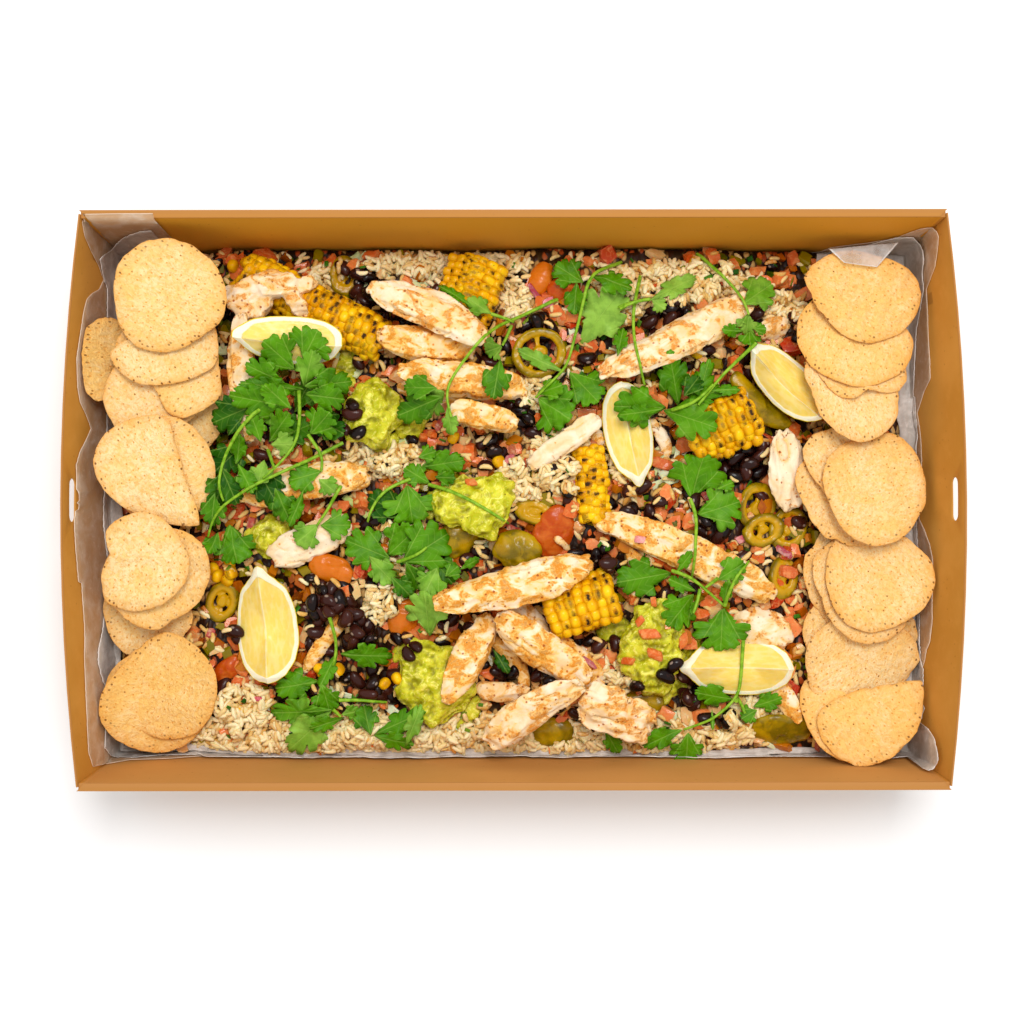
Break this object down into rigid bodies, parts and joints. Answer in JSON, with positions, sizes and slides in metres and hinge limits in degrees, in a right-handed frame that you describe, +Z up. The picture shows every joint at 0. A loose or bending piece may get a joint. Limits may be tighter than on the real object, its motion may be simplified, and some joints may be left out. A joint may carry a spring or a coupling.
{
  "type": "tray of mexican chicken salad",
  "caption": "Open kraft board catering tray with a paper liner, filled with rice and bean salad, sliced chicken, corn, avocado, lemon and round corn chips along both ends.",
  "frame": {"origin": "middle of the tray's underside, on the surface it stands on", "axes": "+X along the tray's long sides towards one end wall, +Y across it, +Z up out of the tray"},
  "size_m": [0.468, 0.3, 0.08],
  "materials": {
    "kraft": "matte kraft board",
    "liner": "greaseproof paper, slightly translucent",
    "salad": "moist food",
    "chip": "matte fried corn chip with toasted specks",
    "chicken": "moist cooked meat with spice",
    "lemon": "wet citrus flesh with a waxy rind",
    "corn": "glossy kernels, charred in places",
    "guacamole": "moist crushed avocado",
    "jalapeno": "wet pickled pepper"
  },
  "bodies": {
    "root": {"tray": "kraft", "liner": "liner", "salad_bed": "salad", "jalapeno_end": "jalapeno", "jalapeno_strip": "jalapeno", "guacamole_1": "guacamole", "guacamole_2": "guacamole", "guacamole_3": "guacamole", "guacamole_4": "guacamole", "corn_1": "corn", "corn_2": "corn", "corn_3": "corn", "corn_4": "corn", "jalapeno_ring": "jalapeno", "lemon_2": "lemon", "lemon_3": "lemon", "lemon_4": "lemon", "lemon_5": "lemon", "chicken_2": "chicken", "chicken_3": "chicken", "chicken_1": "chicken", "chicken_4": "chicken", "chicken_5": "chicken", "chicken_6": "chicken", "chicken_7": "chicken", "chicken_8": "chicken", "chicken_10": "chicken", "chicken_11": "chicken", "chicken_12": "chicken", "chicken_14": "chicken", "chicken_15": "chicken", "chicken_13": "chicken", "chicken_17": "chicken", "chicken_16": "chicken", "chip_left_1": "chip", "chip_left_2": "chip", "chip_left_3": "chip", "chip_left_4": "chip", "chip_left_5": "chip", "chip_left_6": "chip", "chip_left_7": "chip", "chip_left_8": "chip", "chip_left_9": "chip", "chip_left_10": "chip", "chip_left_11": "chip", "chip_left_12": "chip", "chip_left_13": "chip", "chip_right_1": "chip", "chip_right_2": "chip", "chip_right_3": "chip", "chip_right_4": "chip", "chip_right_5": "chip", "chip_right_6": "chip", "chip_right_7": "chip", "chip_right_8": "chip", "chip_right_9": "chip", "chip_right_10": "chip", "chip_right_11": "chip", "chicken_9": "chicken", "lemon_1": "lemon"}
  },
  "joints": []
}
